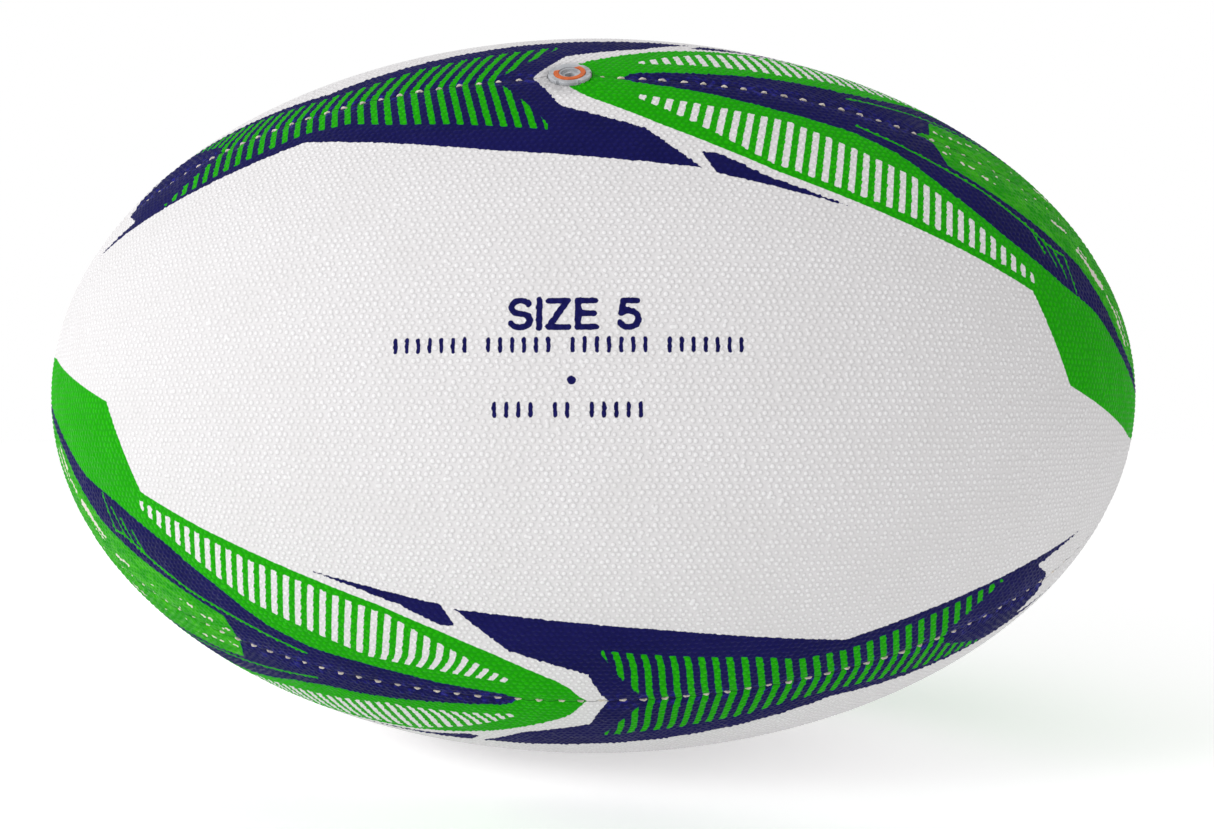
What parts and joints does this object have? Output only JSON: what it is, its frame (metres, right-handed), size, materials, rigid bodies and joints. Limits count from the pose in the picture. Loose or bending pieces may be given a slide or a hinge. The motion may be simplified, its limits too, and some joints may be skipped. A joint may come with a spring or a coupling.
{
  "type": "rugby ball",
  "caption": "Inflated oval ball of four sewn rubber panels on cloth plies, with a bladder inside and a needle valve on one seam.",
  "frame": {"origin": "centre of the ball", "axes": "X along the ball's long axis; -Y out of the middle of the front panel; +Z out of the middle of the top panel; the valve is on the seam between front and top"},
  "size_m": [0.2898, 0.191, 0.191],
  "materials": {
    "pimpled_rubber": "matte, with raised pimples; white with printed navy and green",
    "cloth_ply": "matte, woven",
    "waxed_thread": "waxed, twisted",
    "butyl_rubber": "satin",
    "valve_grey": "satin",
    "valve_core_rubber": "matte",
    "valve_orange": "satin"
  },
  "bodies": {
    "root": {"cover_top": "pimpled_rubber", "cover_front": "pimpled_rubber", "cover_bottom": "pimpled_rubber", "cover_back": "pimpled_rubber", "outer_ply_top": "cloth_ply", "outer_ply_front": "cloth_ply", "outer_ply_bottom": "cloth_ply", "outer_ply_back": "cloth_ply", "inner_ply_top": "cloth_ply", "inner_ply_front": "cloth_ply", "inner_ply_bottom": "cloth_ply", "inner_ply_back": "cloth_ply", "seam_thread_front_top": "waxed_thread", "seam_thread_bottom_front": "waxed_thread", "seam_thread_back_bottom": "waxed_thread", "seam_thread_top_back": "waxed_thread", "bladder": "butyl_rubber", "valve_housing": "butyl_rubber", "valve_patch": "cloth_ply", "valve_insert": "valve_grey", "valve_core": "valve_core_rubber", "valve_ring": "valve_orange"}
  },
  "joints": []
}
